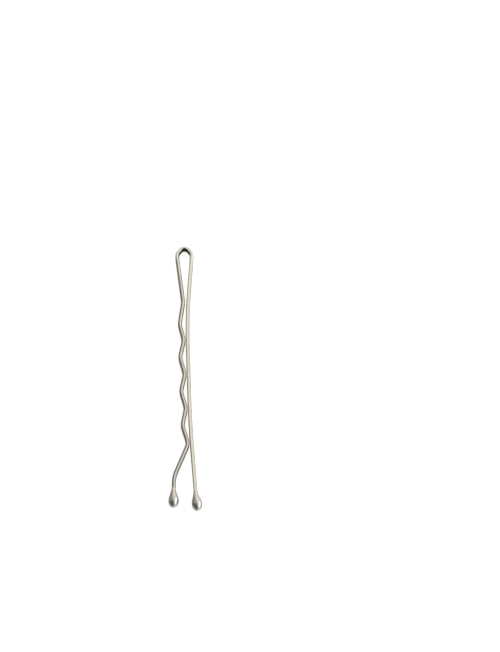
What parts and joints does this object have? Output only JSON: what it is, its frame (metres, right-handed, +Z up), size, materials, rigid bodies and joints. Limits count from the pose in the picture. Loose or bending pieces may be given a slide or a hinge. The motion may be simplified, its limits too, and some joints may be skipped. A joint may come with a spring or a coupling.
{
  "type": "bobby pin",
  "caption": "Crimped hair pin bent from flat spring wire: a straight leg, a round bow and a wavy leg that springs open, with dipped drop-shaped tips.",
  "frame": {"origin": "centre of the pin's box on the surface it lies on, with the legs' centre lines half a tip's diameter above it", "axes": "+Y along the pin towards the bow, +X towards the straight leg's side, +Z up from the surface"},
  "size_m": [0.0062, 0.0508, 0.0019],
  "materials": {
    "wire_lacquer": "champagne silver metallic lacquer on rolled spring steel, satin gloss",
    "tip_lacquer": "dipped plastic drop under the same champagne silver lacquer, glossy"
  },
  "bodies": {
    "straight_side": {"straight_leg": "wire_lacquer", "bow": "wire_lacquer", "straight_leg_tip": "tip_lacquer"},
    "wavy_side": {"wavy_leg": "wire_lacquer", "wavy_leg_tip": "tip_lacquer"}
  },
  "joints": [
    {"name": "leg_opening", "type": "hinge", "parent": "straight_side", "child": "wavy_side", "pos_m": [-0.00023, 0.02439, 0.00095], "axis": [0, 0, -1], "range_deg": [0, 15], "stiffness_Nm_per_rad": 0.17, "deforming": ["bow"]}
  ]
}
